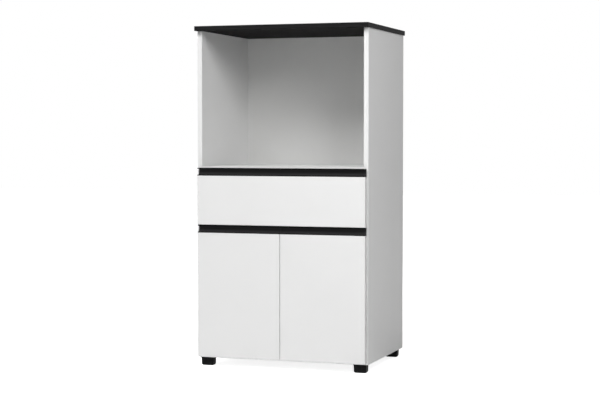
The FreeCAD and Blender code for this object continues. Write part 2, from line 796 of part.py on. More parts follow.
def make_slides():
    for side, name in ((-1, "left"), (1, "right")):
        make_slide_rail(side)
        make_drawer_runner(side)
        make_roller(f"front_roller_{name}", side, y_front + S.slide_from_front + S.roller_from_end)
        make_roller(f"rear_roller_{name}", side, runner_front + S.slide_length - S.roller_from_end)
    rail_screw = make_screw("rail_screw", S.screw_in_wood + S.rail_sheet)
    height = z_base + slide_low + S.rail_height / 2
    members = []
    for side, direction in ((-1, "+x"), (1, "-x")):
        for y in slide_screw_lines:
            place = (side * (x_in - S.rail_sheet), y_front + S.slide_from_front + y, height)
            members.append((rail_screw, direction, place))
    group("slide_rail_screws", members)
    runner_screw = make_screw("runner_screw", S.drawer_bottom_rise - 2 * S.end_play + S.rail_sheet)
    runner_members = []
    for side in (-1, 1):
        for y in slide_screw_lines:
            place = (side * (x_in - S.slide_gap - S.board / 2), runner_front + y,
                     z_base + slide_low + S.runner_rise)
            runner_members.append((runner_screw, "-z", place))
    group("drawer_runner_screws", runner_members)


# Drawer box; its sides stand on the runners' ledges and touch the back of the drawer front

drawer_back_y = y_front - S.front_gap
runner_front = y_front - S.front_gap + S.slide_from_front / 2
drawer_side_z = z_base + slide_low + drawer_side_low
drawer_outer_x = x_in - S.slide_gap
drawer_inner_x = drawer_outer_x - S.board
drawer_depth = S.slide_length
drawer_cam_heights = (S.drawer_cam_low, S.drawer_cam_high)
drawer_screw_heights = (S.drawer_screw_low, S.drawer_screw_high)
groove_height = S.drawer_bottom_thickness + S.groove_play
long_screw_bore = S.bolt_thread_radius + S.fit


def make_drawer_side(side):
    label = "drawer_side_left" if side < 0 else "drawer_side_right"
    low = -drawer_outer_x if side < 0 else drawer_inner_x
    body = box_body(label, (low, drawer_back_y, drawer_side_z),
                    (S.board, drawer_depth, S.drawer_side_height))
    inner = S.board if side < 0 else dim(0)
    outer = dim(0) if side < 0 else S.board
    groove = rectangle(0, S.drawer_bottom_rise, drawer_depth, S.drawer_bottom_rise + groove_height)
    add_cut(body, "x", inner, S.groove_depth, side, [groove])
    cams = [(S.cam_setback, z, cam_bore) for z in drawer_cam_heights]
    add_cut(body, "x", inner, S.cam_length + S.end_play, side, circles=cams)
    bolts = [(S.board / 2, z, bolt_bore) for z in drawer_cam_heights]
    add_cut(body, "y", 0, bolt_depth, 1, circles=bolts)
    screws = [(drawer_depth - S.board / 2, z, long_screw_bore) for z in drawer_screw_heights]
    heads = [(y, z, S.screw_head_radius + S.fit) for y, z, radius in screws]
    add_cut(body, "x", outer, S.board, -side, circles=screws)
    add_cut(body, "x", outer, S.screw_head, -side, circles=heads)
    pilots = [(S.board / 2, runner_front - drawer_back_y + y, screw_bore) for y in slide_screw_lines]
    add_cut(body, "z", 0, S.drawer_bottom_rise - S.end_play, 1, circles=pilots)


def make_drawer_back():
    width = 2 * drawer_inner_x
    place = (-drawer_inner_x, drawer_back_y + drawer_depth - S.board, drawer_side_z)
    body = box_body("drawer_back", place, (width, S.board, S.drawer_side_height))
    groove = rectangle(0, S.drawer_bottom_rise, width, S.drawer_bottom_rise + groove_height)
    add_cut(body, "y", 0, S.groove_depth, 1, [groove])
    for end, toward in ((dim(0), 1), (width, -1)):
        holes = [(S.board / 2, z, long_screw_bore) for z in drawer_screw_heights]
        add_cut(body, "x", end, S.long_screw - S.board + S.end_play, toward, circles=holes)


def make_drawer_bottom():
    reach = S.groove_depth - S.end_play
    width = 2 * (drawer_inner_x + reach)
    depth = drawer_depth - S.board + 2 * reach
    place = (-width / 2, drawer_back_y - reach, drawer_side_z + S.drawer_bottom_rise)
    box_body("drawer_bottom", place, (width, depth, S.drawer_bottom_thickness))


def add_fin_groove(body, width, top):
    """The slot in a front's upper edge that takes the handle's fin."""
    middle = S.board / 2
    half = S.handle_fin / 2 + S.fit
    slot = rectangle(middle - half, top - S.handle_fin_height - S.end_play, middle + half, top)
    add_cut(body, "x", 0, width, 1, [slot])


def make_drawer_front():
    width = S.carcass_width - 2 * S.front_inset
    body = box_body("drawer_front", (-width / 2, y_face, z_base + drawer_front_low),
                    (width, S.board, S.drawer_front_height), "all")
    add_fin_groove(body, width, S.drawer_front_height)
    rise = slide_low + drawer_side_low - drawer_front_low
    column = drawer_inner_x + S.board / 2
    bolts = [(width / 2 + side * column, rise + z, thread_bore)
             for side in (-1, 1) for z in drawer_cam_heights]
    add_cut(body, "y", S.board, thread_depth, -1, circles=bolts)
    reach = drawer_inner_x + S.groove_depth
    low = rise + S.drawer_bottom_rise
    groove = rectangle(width / 2 - reach, low, width / 2 + reach, low + groove_height)
    add_cut(body, "y", S.board, S.groove_depth, -1, [groove])


def make_drawer_fasteners(cam, bolt):
    cams = []
    bolts = []
    screws = []
    screw = new_body("long_screw", kept=False)
    radius = S.bolt_thread_radius
    head = S.screw_head_radius
    shaft = S.long_screw - S.screw_head
    add_turned(screw, [(0, -shaft), (radius, -shaft + 2 * radius), (radius, 0), (head, 0),
                       (head, S.screw_head), (0, S.screw_head)])
    add_cut(screw, "z", S.screw_head, S.recess_depth, -1, [cross(S.recess_reach, S.recess_half)])
    for side, direction in ((-1, "+x"), (1, "-x")):
        column = side * (drawer_inner_x + S.board / 2)
        for z in drawer_cam_heights:
            bolts.append((bolt, "+y", (column, drawer_back_y, drawer_side_z + z)))
            cams.append((cam, "drawer_cam" + direction,
                         (side * drawer_inner_x, drawer_back_y + S.cam_setback, drawer_side_z + z)))
        for z in drawer_screw_heights:
            place = (side * (drawer_outer_x - S.screw_head), drawer_back_y + drawer_depth - S.board / 2,
                     drawer_side_z + z)
            screws.append((screw, "-x" if side < 0 else "+x", place))
    group("drawer_cam_locks", cams)
    group("drawer_cam_bolts", bolts)
    group("drawer_back_screws", screws)


# Grip profiles: a black channel open to the front, with a fin in the board's upper edge

def make_handle(label, low_x, width, seat_z):
    body = new_body(label, (low_x, y_face, seat_z))
    depth = S.board + S.handle_back
    wall = S.handle_wall
    top = S.handle_height
    middle = S.board / 2
    half = S.handle_fin / 2
    section = [(0, 0), (middle - half, 0), (middle - half, -S.handle_fin_height),
               (middle + half, -S.handle_fin_height), (middle + half, 0), (depth, 0), (depth, top),
               (0, top), (0, top - wall), (depth - wall, top - wall), (depth - wall, wall), (0, wall)]
    pad = add_pad(body, "x", 0, width, [section])
    inner_back = depth - wall
    near = S.fit.value

    def is_low_bend(middle, edge):
        return abs(middle.y - inner_back.value) < near and abs(middle.z - wall.value) < near

    def is_back_corner(middle, edge):
        at_back = abs(middle.y - depth.value) < near
        at_top_bend = abs(middle.y - inner_back.value) < near and abs(middle.z - (top - wall).value) < near
        at_end = abs(middle.z) < near or abs(middle.z - top.value) < near
        return at_top_bend or (at_back and at_end)

    def along_width(edge):
        return edge.BoundBox.XLength > near

    bend = round_edges(body, pad, lambda m, e: along_width(e) and is_low_bend(m, e), S.handle_bend)
    round_edges(body, bend, lambda m, e: along_width(e) and is_back_corner(m, e), S.handle_corner)


def make_handles():
    width = S.carcass_width - 2 * S.front_inset
    make_handle("drawer_handle", -width / 2, width, z_base + drawer_front_top)
    half_width = (width - S.handle_middle_gap) / 2
    make_handle("door_handle_left", -width / 2, half_width, z_base + door_top)
    make_handle("door_handle_right", S.handle_middle_gap / 2, half_width, z_base + door_top)


# Doors

door_width = (S.carcass_width - 2 * S.front_inset - S.door_middle_gap) / 2
overlay = S.board - S.front_inset
cup_in = S.cup_from_edge + S.cup_radius - overlay
hinge_side_names = ((-1, "left"), (1, "right"))


def make_door(side, name):
    low_x = S.front_inset - x_out if side < 0 else S.door_middle_gap / 2
    body = box_body(f"door_{name}", (low_x, y_face, z_base + S.door_bottom_reveal),
                    (door_width, S.board, S.door_height), "all")
    add_fin_groove(body, door_width, S.door_height)
    edge_to_cup = S.cup_from_edge + S.cup_radius
    cup_x = edge_to_cup if side < 0 else door_width - edge_to_cup
    screw_x = cup_x - side * S.cup_screw_offset
    heights = (S.hinge_end_offset, S.door_height - S.hinge_end_offset)
    cups = [(cup_x, z, S.cup_radius + S.fit) for z in heights]
    screws = [(screw_x, z + end * S.cup_screw_spacing / 2, screw_bore)
              for z in heights for end in (-1, 1)]
    add_cut(body, "y", S.board, S.cup_depth + S.end_play, -1, circles=cups)
    add_cut(body, "y", S.board, S.screw_in_wood + S.end_play, -1, circles=screws)


def make_bumpers(side, name):
    """A soft disc low on the door and another on its handle's back, near the free edge."""
    column = side * (S.door_middle_gap / 2 + S.bumper_from_edge)
    places = (
        (y_front - S.front_gap, z_base + S.board - S.bumper_radius - S.edge_round,
         S.front_gap - S.bumper_gap),
        (y_front - S.front_gap + S.handle_back, z_base + door_top + S.handle_height / 2 + S.bumper_radius,
         S.front_gap - S.handle_back - S.bumper_gap),
    )
    members = []
    for number, (y, z, thickness) in enumerate(places, start=1):
        disc = new_body(f"bumper_{name}_{number}", kept=False)
        add_turned(disc, [(0, 0), (S.bumper_radius, 0), (S.bumper_radius, thickness / 2),
                          (S.bumper_radius - thickness / 2, thickness), (0, thickness)])
        members.append((disc, "+y", (column, y, z)))
    group(f"door_bumpers_{name}", members)


# Cup hinges. Local x counts into the cabinet (negative) from the side panel's inner face and
# local y from its front edge; side mirrors the left hinge. Each hinge is symmetric in z.

pivot_a = (-S.pivot_a_in, S.pivot_a_back)
pivot_b = (-S.pivot_b_in, -S.pivot_b_front)
pivot_c = (-S.pivot_c_in, -S.pivot_c_front)
pivot_d = (-S.pivot_d_in, -S.pivot_d_front)
pin_bore = S.pin_radius + S.fit


def mirrored(side, points):
    return [(side * point[0],) + tuple(point[1:]) for point in points]


def add_layer_pads(body, side, low, thickness, outlines=(), circles=()):
    """The same plate above and below the hinge's middle."""
    outlines = [mirrored(side, points) for points in outlines]
    circles = mirrored(side, circles)
    for start in (low, -(low + thickness)):
        if outlines:
            add_pad(body, "z", start, thickness, outlines=outlines)
        for circle in circles:
            add_pad(body, "z", start, thickness, circles=[circle])


def make_arm(side):
    """The arm: two cheeks that carry the links' pivots and a web that joins them behind."""
    body = new_body(f"arm_{side}".replace("-", "n"), kept=False)
    ax, ay = pivot_a
    bx, by = pivot_b
    r = S.eye_radius
    near = -S.plate_height
    far = -(S.plate_height + S.arm_height)
    outline = [(near, S.arm_rear), (near, S.arm_height), (bx + r, ay), (bx + r, by), (bx - r, by),
               (bx - r, ay - r), (ax, ay - r), (ax - r, ay), (ax - r, ay + r),
               (far, S.arm_height + r), (far, S.arm_rear)]
    add_layer_pads(body, side, S.cheek_start, S.cheek, [outline], [(bx, by, r)])
    web = mirrored(side, rectangle(far, S.arm_height + 2 * r, far + S.cheek, S.arm_rear))
    add_pad(body, "z", -S.cheek_start, 2 * S.cheek_start, [web])
    holes = mirrored(side, [(ax, ay, pin_bore), (bx, by, pin_bore)])
    full = S.cheek_start + S.cheek
    add_cut(body, "z", full, 2 * full, -1, circles=holes)
    screws = [(y, 0, screw_bore) for y in arm_screw_lines]
    add_cut(body, "x", side * (far - S.cheek), 3 * S.cheek, side, circles=screws)
    return body


arm_screw_lines = (S.plate_line - S.board / 2, S.arm_rear - S.board / 2)


def make_plate(side):
    """The mounting plate: two screw wings and a raised bridge that the arm sits on."""
    body = new_body(f"plate_{side}".replace("-", "n"), kept=False)
    wing = S.plate_screw_spacing / 2 + S.screw_head_radius * 2
    half = S.screw_head_radius * 2
    bridge = S.cheek_start + S.cheek
    low = -S.plate_base if side > 0 else dim(0)
    wings = rectangle(S.plate_line - half, -wing, S.plate_line + half, wing)
    add_pad(body, "x", low, S.plate_base, [wings])
    rise = S.plate_height
    low = -rise if side > 0 else dim(0)
    add_pad(body, "x", low, rise, [rectangle(S.arm_height, -bridge, S.arm_rear, bridge)])
    ends = [(S.plate_line, end * S.plate_screw_spacing / 2, screw_bore) for end in (-1, 1)]
    low = -S.plate_base if side > 0 else dim(0)
    add_cut(body, "x", low, S.plate_base, 1, circles=ends)
    taps = [(y, 0, screw_bore) for y in arm_screw_lines]
    low = -rise if side > 0 else dim(0)
    add_cut(body, "x", low, rise, 1, circles=taps)
    return body


def make_inner_link(side, name):
    """The link between the arm's cheeks, from pivot a to pivot c."""
    body = new_body(f"inner_link_{name}", kept=False)
    ax, ay = pivot_a
    cx, cy = pivot_c
    r = S.eye_radius
    half = S.inner_link_half
    points = mirrored(side, [(ax, ay - r), (ax - r / 2, ay + r / 2), (ax + r, ay + r / 4),
                             (cx - r, cy + r / 2), (cx - r / 2, cy - r / 2), (cx - 2 * r, cy - r / 2)])
    add_pad(body, "z", -half, 2 * half, [points])
    for x, y in (pivot_a, pivot_c):
        add_pad(body, "z", -half, 2 * half, circles=mirrored(side, [(x, y, r)]))
    holes = mirrored(side, [(ax, ay, pin_bore), (cx, cy, pin_bore)])
    add_cut(body, "z", half, 2 * half, -1, circles=holes)
    return body


def make_outer_link(side, name):
    """Two flat links outside the cheeks, from pivot b to the forks on the pin at pivot d."""
    body = new_body(f"outer_link_{name}", kept=False)
    bx, by = pivot_b
    dx, dy = pivot_d
    r = S.eye_radius
    bow = r / 3
    tip = dx + S.pin_radius
    outline = [(bx, by + r), (bx - r / 2, by), (bx, by - r), (dx - 2 * r, dy - fork_outer),
               (tip, dy - fork_outer), (tip, dy - fork_half), (dx - fork_reach, dy - fork_half),
               (dx - fork_reach, dy + fork_half), (tip, dy + fork_half),
               (tip, dy + fork_outer), (dx - fork_reach, dy + fork_outer), ((bx + dx) / 2 + bow, by)]
    add_layer_pads(body, side, S.outer_link_start, S.outer_link_sheet, [outline], [(bx, by, r)])
    full = S.outer_link_start + S.outer_link_sheet
    add_cut(body, "z", full, 2 * full, -1, circles=mirrored(side, [(bx, by, pin_bore)]))
    return body


# The fork leaves the pin at pivot d the little way that it moves across the link
fork_half = S.pin_radius + S.fork_play
fork_reach = S.pin_radius + S.fork_play
fork_outer = fork_half + S.outer_link_sheet


def make_cup(side, name):
    """The cup in the door with its screw flange and the ears of pivots c and d."""
    body = new_body(f"cup_{name}", kept=False)
    back = -S.front_gap
    centre = (side * -cup_in, 0, S.cup_radius)
    add_pad(body, "y", back - S.cup_depth, S.cup_depth, circles=[centre])
    wing = S.cup_screw_spacing / 2 + S.screw_head_radius * 2
    wing_x = -cup_in - S.cup_screw_offset
    half = S.screw_head_radius * 2
    flange = rectangle(wing_x - half, -wing, wing_x + half, wing)
    add_pad(body, "y", back, S.cup_flange, [mirrored(side, flange)])
    rim = (side * -cup_in, 0, S.cup_radius + S.cup_flange)
    add_pad(body, "y", back, S.cup_flange, circles=[rim])
    bowl = (side * -cup_in, 0, S.cup_radius - S.cup_wall)
    depth = S.cup_depth + S.cup_flange - S.cup_wall
    add_cut(body, "y", back + S.cup_flange, depth, -1, circles=[bowl])
    notch_low = back - S.cup_depth * 3 / 4
    notch_high = back + 2 * S.cup_flange
    notch = rectangle(-cup_in, notch_low, -cup_in + 2 * S.cup_radius, notch_high)
    notch_half = S.cup_outer_ear_start - S.layer_gap / 3
    add_cut(body, "z", notch_half, 2 * notch_half, -1, [mirrored(side, notch)])
    floor = back - S.cup_depth + S.cup_wall
    cx, cy = pivot_c
    dx, dy = pivot_d
    r = S.eye_radius
    root = 3 * r / 4
    ear_low = floor - S.cup_wall / 2
    inner_ear = [(cx - r, ear_low), (cx + root, ear_low), (cx + root, cy + r / 2), (cx, cy + r),
                 (cx - r, cy + r / 2)]
    outer_ear = [(dx - r, ear_low), (dx + root, ear_low), (dx + root, dy + r), (dx - r, dy + r)]
    add_layer_pads(body, side, S.inner_link_half + S.layer_gap, S.cup_ear, [inner_ear])
    add_layer_pads(body, side, S.cup_outer_ear_start, S.cup_ear, [outer_ear])
    full = S.inner_link_half + S.layer_gap + S.cup_ear
    add_cut(body, "z", full, 2 * full, -1, circles=mirrored(side, [(cx, cy, pin_bore)]))
    full = S.cup_outer_ear_start + S.cup_ear
    add_cut(body, "z", full, S.cup_ear, -1, circles=mirrored(side, [(dx, dy, pin_bore)]))
    add_cut(body, "z", -full, S.cup_ear, 1, circles=mirrored(side, [(dx, dy, pin_bore)]))
    screws = [(wing_x, end * S.cup_screw_spacing / 2, screw_bore) for end in (-1, 1)]
    add_cut(body, "y", back, S.cup_flange, 1, circles=mirrored(side, screws))
    return body


def make_pin(label, length):
    body = new_body(label, kept=False)
    add_pad(body, "z", 0, length, circles=[(0, 0, S.pin_radius)])
    return body


def make_hinges():
    inner_pin_length = 2 * (S.cheek_start + S.cheek)
    stud_b_start = S.cheek_start
    stud_b_length = S.outer_link_start + S.outer_link_sheet - S.cheek_start + S.stud_end
    cup_pin_length = 2 * (S.inner_link_half + S.layer_gap + S.cup_ear)
    stud_d_start = S.outer_link_start - S.stud_end
    stud_d_length = S.cup_outer_ear_start + S.cup_ear - stud_d_start
    arm_pin = make_pin("arm_pin", inner_pin_length)
    arm_stud = make_pin("arm_stud", stud_b_length)
    cup_pin = make_pin("cup_pin", cup_pin_length)
    cup_stud = make_pin("cup_stud", stud_d_length)
    screw = make_screw("hinge_screw", S.screw_in_wood + S.plate_base)
    cup_screw = make_screw("cup_screw", S.screw_in_wood + S.cup_flange)
    arm_screw = make_screw("arm_screw", S.arm_height)
    plates = []
    arms = []
    plate_screws = []
    arm_screws = []
    arm_pins = []
    for side, name in hinge_side_names:
        inward = "+x" if side < 0 else "-x"
        plate = make_plate(side)
        arm = make_arm(side)
        inner_link = make_inner_link(side, name)
        outer_link = make_outer_link(side, name)
        cup = make_cup(side, name)
        places = [(side * x_in, y_front, z_base + z) for z in hinge_heights]
        plates += [(plate, "+z", place) for place in places]
        arms += [(arm, "+z", place) for place in places]
        group(f"hinge_inner_links_{name}", [(inner_link, "+z", place) for place in places])
        group(f"hinge_outer_links_{name}", [(outer_link, "+z", place) for place in places])
        group(f"hinge_cups_{name}", [(cup, "+z", place) for place in places])
        cup_pins = []
        cup_screws = []
        for x, y, z in places:
            for end in (-1, 1):
                plate_screws.append((screw, inward, (x - side * S.plate_base, y + S.plate_line,
                                                     z + end * S.plate_screw_spacing / 2)))
                cup_screws.append((cup_screw, "+y",
                                   (x - side * (cup_in + S.cup_screw_offset),
                                    y - S.front_gap + S.cup_flange,
                                    z + end * S.cup_screw_spacing / 2)))
            for line in arm_screw_lines:
                arm_screws.append((arm_screw, inward,
                                   (x - side * (S.plate_height + S.arm_height), y + line, z)))
            for pins, long_pin, stud, long_at, stud_at, long_length, start, stud_length in (
                    (arm_pins, arm_pin, arm_stud, pivot_a, pivot_b, inner_pin_length,
                     stud_b_start, stud_b_length),
                    (cup_pins, cup_pin, cup_stud, pivot_c, pivot_d, cup_pin_length,
                     stud_d_start, stud_d_length)):
                u, v = long_at
                pins.append((long_pin, "+z", (x + side * u, y + v, z - long_length / 2)))
                u, v = stud_at
                pins.append((stud, "+z", (x + side * u, y + v, z + start)))
                pins.append((stud, "+z", (x + side * u, y + v, z - start - stud_length)))
        group(f"hinge_cup_pins_{name}", cup_pins)
        group(f"hinge_cup_screws_{name}", cup_screws)
    group("hinge_plates", plates)
    group("hinge_arms", arms)
    group("hinge_plate_screws", plate_screws)
    group("hinge_arm_screws", arm_screws)
    group("hinge_arm_pins", arm_pins)


make_top_panel()
make_side_panel(-1)
make_side_panel(1)
make_bottom_panel()
make_fixed_board("divider_shelf", divider_low)
make_niche_shelf()
make_inner_shelf()
make_backs()
make_feet()
cam_lock, cam_bolt = make_board_fasteners()
make_shelf_supports()
make_slides()
make_drawer_front()
make_drawer_side(-1)
make_drawer_side(1)
make_drawer_back()
make_drawer_bottom()
make_drawer_fasteners(cam_lock, cam_bolt)
make_handles()
for door_side, door_name in hinge_side_names:
    make_door(door_side, door_name)
    make_bumpers(door_side, door_name)
make_hinges()
doc.recompute()

# Every object and shape is tested before anything is written
for thing in doc.Objects:
    if "Invalid" in thing.State or "Error" in thing.State:
        raise RuntimeError(f"{thing.Label} failed: {thing.State}")
for pocket in cuts:
    if pocket.BaseFeature.Shape.Volume - pocket.Shape.Volume < SMALLEST_CUT:
        raise RuntimeError(f"{pocket.Label} cuts nothing")
for node in nodes:
    if node.Shape.isNull() or not node.Shape.isValid():
        raise RuntimeError(f"{node.Label} has no valid shape")

os.makedirs("parts", exist_ok=True)
for node in nodes:
    node.Shape.exportStep(f"parts/{node.Label}.step")
    print(f"{node.Label}: {len(node.Shape.Solids)} solids, {node.Shape.Volume / 1000:.1f} cm3")
print(len(nodes), "nodes")
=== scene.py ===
import json
import math

import bpy
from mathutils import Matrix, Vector


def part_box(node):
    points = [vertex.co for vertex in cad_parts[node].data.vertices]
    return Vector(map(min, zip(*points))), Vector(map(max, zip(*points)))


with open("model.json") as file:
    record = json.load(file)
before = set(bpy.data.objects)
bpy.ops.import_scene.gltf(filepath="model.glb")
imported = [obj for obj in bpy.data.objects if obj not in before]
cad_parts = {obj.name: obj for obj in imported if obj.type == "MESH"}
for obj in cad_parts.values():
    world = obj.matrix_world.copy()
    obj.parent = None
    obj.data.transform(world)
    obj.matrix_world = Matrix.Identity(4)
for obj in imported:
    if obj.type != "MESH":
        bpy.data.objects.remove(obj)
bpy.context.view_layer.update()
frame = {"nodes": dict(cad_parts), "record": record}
nodes = frame["nodes"]

# Camera: place, direction and lens found from the straight edges in the photograph

CAMERA_PLACE = (1.6002, -4.7186, 0.7417)
CAMERA_YAW = 18.807
CAMERA_DIP = 2.436
SENSOR = 36.0
LENS = 91.2
NEAREST_SEEN = 0.1
FARTHEST_SEEN = 60.0


def make_camera():
    data = bpy.data.cameras.new("camera")
    data.sensor_width = SENSOR
    data.lens = LENS
    data.clip_start = NEAREST_SEEN
    data.clip_end = FARTHEST_SEEN
    camera = bpy.data.objects.new("camera", data)
    bpy.context.scene.collection.objects.link(camera)
    yaw = math.radians(CAMERA_YAW)
    dip = math.radians(CAMERA_DIP)
    ahead = Vector((-math.sin(yaw) * math.cos(dip), math.cos(yaw) * math.cos(dip), -math.sin(dip)))
    camera.location = CAMERA_PLACE
    camera.rotation_mode = "QUATERNION"
    camera.rotation_quaternion = ahead.to_track_quat("-Z", "Y")
    bpy.context.scene.camera = camera


# Shader nodes

# Most values of a noise texture lie between these two
NOISE_LOW = 0.3
NOISE_HIGH = 0.7

# The Mix node has sockets for several kinds of value, and these are the ones for colours
MIX_FIRST = 6
MIX_SECOND = 7
MIX_RESULT = 2

# Cosine between a face and its bevelled normal: a full edge up to the first, flat from the second
EDGE_COSINE = 0.75
FLAT_COSINE = 0.99
BEVEL_SAMPLES = 4

# A face looks along an axis where its normal has more than this along it
FACING = 0.5


class NodeTree:
    """The nodes of a material or a world, with short calls that add to them."""

    def __init__(self, owner):
        owner.use_nodes = True
        self.tree = owner.node_tree

    def add(self, kind, **settings):
        node = self.tree.nodes.new(kind)
        for name, value in settings.items():
            setattr(node, name, value)
        return node

    def link(self, source, target):
        self.tree.links.new(source, target)

    def spread(self, value, low, high, low_in=NOISE_LOW, high_in=NOISE_HIGH):
        """Maps a value from one range to another and holds it inside."""
        node = self.add("ShaderNodeMapRange")
        node.inputs["From Min"].default_value = low_in
        node.inputs["From Max"].default_value = high_in
        node.inputs["To Min"].default_value = low
        node.inputs["To Max"].default_value = high
        self.link(value, node.inputs["Value"])
        return node.outputs["Result"]

    def combine(self, operation, first, second):
        """One operation of the Math node on two values, each a number or a node's output."""
        node = self.add("ShaderNodeMath", operation=operation)
        for socket, value in zip(node.inputs, (first, second)):
            if isinstance(value, (int, float)):
                socket.default_value = value
            else:
                self.link(value, socket)
        return node.outputs["Value"]

    def seen_directly(self):
        """1 where the camera sees it, also in a mirror or through glass."""
        path = self.add("ShaderNodeLightPath")
        mirrored = self.combine("MAXIMUM", path.outputs["Is Camera Ray"], path.outputs["Is Glossy Ray"])
        return self.combine("MAXIMUM", mirrored, path.outputs["Is Transmission Ray"])


class Shader(NodeTree):
    """A new material with its Principled shader, textured in object coordinates."""

    def __init__(self, name, **sockets):
        self.material = bpy.data.materials.new(name)
        super().__init__(self.material)
        self.surface = self.tree.nodes["Principled BSDF"]
        self.place = self.add("ShaderNodeTexCoord")
        for socket, value in sockets.items():
            self.surface.inputs[socket.replace("_", " ")].default_value = value

    def axes(self, source):
        """X, Y and Z of the object's coordinates or of its normal."""
        split = self.add("ShaderNodeSeparateXYZ")
        self.link(self.place.outputs[source], split.inputs["Vector"])
        return split.outputs

    def stretched(self, scale):
        """Object coordinates in metres, multiplied per axis."""
        mapping = self.add("ShaderNodeMapping")
        mapping.inputs["Scale"].default_value = scale
        self.link(self.place.outputs["Object"], mapping.inputs["Vector"])
        return mapping.outputs["Vector"]

    def noise(self, scale, detail=2.0, roughness=0.5, stretch=(1, 1, 1)):
        node = self.add("ShaderNodeTexNoise")
        node.inputs["Scale"].default_value = scale
        node.inputs["Detail"].default_value = detail
        node.inputs["Roughness"].default_value = roughness
        self.link(self.stretched(stretch), node.inputs["Vector"])
        return node.outputs["Fac"]

    def mix(self, factor, first, second):
        """Mixes two colours, each a tuple or a node's output."""
        node = self.add("ShaderNodeMix", data_type="RGBA")
        self.link(factor, node.inputs["Factor"])
        for socket, value in ((node.inputs[MIX_FIRST], first), (node.inputs[MIX_SECOND], second)):
            if isinstance(value, tuple):
                socket.default_value = (*value, 1)
            else:
                self.link(value, socket)
        return node.outputs[MIX_RESULT]

    def edges(self, radius):
        """0 on flat faces, rising to 1 at edges, over about the radius."""
        bevel = self.add("ShaderNodeBevel", samples=BEVEL_SAMPLES)
        bevel.inputs["Radius"].default_value = radius
        flat = self.add("ShaderNodeNewGeometry")
        dot = self.add("ShaderNodeVectorMath", operation="DOT_PRODUCT")
        self.link(bevel.outputs["Normal"], dot.inputs[0])
        self.link(flat.outputs["Normal"], dot.inputs[1])
        return self.spread(dot.outputs["Value"], 1.0, 0.0, EDGE_COSINE, FLAT_COSINE)

    def colour(self, output):
        self.link(output, self.surface.inputs["Base Color"])

    def roughness(self, output):
        self.link(output, self.surface.inputs["Roughness"])

    def bump(self, height, strength, distance):
        node = self.add("ShaderNodeBump")
        node.inputs["Strength"].default_value = strength
        node.inputs["Distance"].default_value = distance
        self.link(height, node.inputs["Height"])
        self.link(node.outputs["Normal"], self.surface.inputs["Normal"])

    def grain(self, texture, rough, strength, distance):
        """One texture that sets the roughness, between the two given values, and the bumps."""
        self.roughness(self.spread(texture, *rough))
        self.bump(texture, strength, distance)


# Materials of the boards

def white_board():
    """White melamine: a fine pearl texture, a satin sheen and rims painted a shade brighter as a painted
    highlight.
    """
    look = Shader("white_melamine", Specular_IOR_Level=0.22)
    dull = (0.815, 0.815, 0.812)
    clean = (0.845, 0.845, 0.842)
    # The rim colour is a painted highlight: the edges are painted a shade brighter than the faces
    rim = (0.89, 0.89, 0.885)
    tone = look.mix(look.noise(scale=7.0, detail=3.0), dull, clean)
    look.colour(look.mix(look.edges(radius=0.0012), tone, rim))
    pearl = look.noise(scale=1400.0, detail=3.0, roughness=0.6)
    look.grain(pearl, rough=(0.42, 0.58), strength=0.16, distance=0.0003)
    return look.material


def black_board():
    """Black decor foil: a faint grain along the board, and painted shade on its rims and underside."""
    look = Shader("black_foil_board", Specular_IOR_Level=0.03)
    deep = (0.011, 0.011, 0.0115)
    faded = (0.018, 0.018, 0.0185)
    # Painted shade: a darker black painted on the rims and on the underside
    painted_shade = (0.0035, 0.0035, 0.0037)
    grain = look.noise(scale=60.0, detail=6.0, roughness=0.6, stretch=(0.25, 4.0, 4.0))
    tone = look.mix(look.spread(grain, 0.0, 1.0), deep, faded)
    facing = look.axes("Normal")
    is_under = look.combine("LESS_THAN", facing["Z"], -FACING)
    # Where the painted shade goes: the rims and the faces that look down
    has_painted_shade = look.combine("MAXIMUM", look.edges(radius=0.0018), is_under)
    look.colour(look.mix(has_painted_shade, tone, painted_shade))
    look.roughness(look.spread(grain, 0.5, 0.66))
    pits = look.noise(scale=1100.0, detail=3.0, roughness=0.6)
    look.bump(pits, strength=0.2, distance=0.0003)
    return look.material


def back_sheet():
    """Hardboard, painted white on the side that faces the inside and raw brown outside."""
    look = Shader("hardboard")
    brown = (0.19, 0.115, 0.065)
    straw = (0.34, 0.22, 0.13)
    thin_paint = (0.82, 0.82, 0.81)
    full_paint = (0.86, 0.86, 0.85)
    facing = look.axes("Normal")
    downward = look.combine("MULTIPLY", facing["Z"], -1.0)
    outward = look.combine("MAXIMUM", facing["Y"], downward)
    is_raw = look.combine("GREATER_THAN", outward, FACING)
    fibres = look.noise(scale=420.0, detail=8.0, roughness=0.7, stretch=(1.0, 1.0, 0.6))
    raw = look.mix(look.spread(fibres, 0.0, 1.0), brown, straw)
    paint = look.mix(look.noise(scale=9.0, detail=3.0), thin_paint, full_paint)
    look.colour(look.mix(is_raw, paint, raw))
    look.grain(fibres, rough=(0.55, 0.8), strength=0.25, distance=0.0004)
    return look.material


# Materials of the plastics

def profile_plastic():
    """Black grip profile: drawn lines along its length, a matt recess, and glossier lips painted darker
    as painted shade.
    """
    look = Shader("black_profile", Specular_IOR_Level=0.06)
    dark = (0.020, 0.020, 0.0205)
    pale = (0.032, 0.032, 0.033)
    # Painted shade: the lips get a darker copy of the black than the recess
    painted_lip_shade = (0.002, 0.002, 0.0021)
    lip_depth = 0.0012
    lines = look.noise(scale=30.0, detail=4.0, roughness=0.6, stretch=(0.15, 60.0, 60.0))
    recess = look.mix(look.spread(lines, 0.0, 1.0), dark, pale)
    place = look.axes("Object")
    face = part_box("drawer_handle")[0][1]
    is_recess = look.spread(place["Y"], 0.0, 1.0, face + lip_depth, face + 2 * lip_depth)
    # The recess keeps the paler black, and painted shade darkens the lips in front of it
    look.colour(look.mix(is_recess, painted_lip_shade, recess))
    look.roughness(look.spread(is_recess, 0.30, 0.52, 0.0, 1.0))
    look.bump(lines, strength=0.12, distance=0.0002)
    return look.material


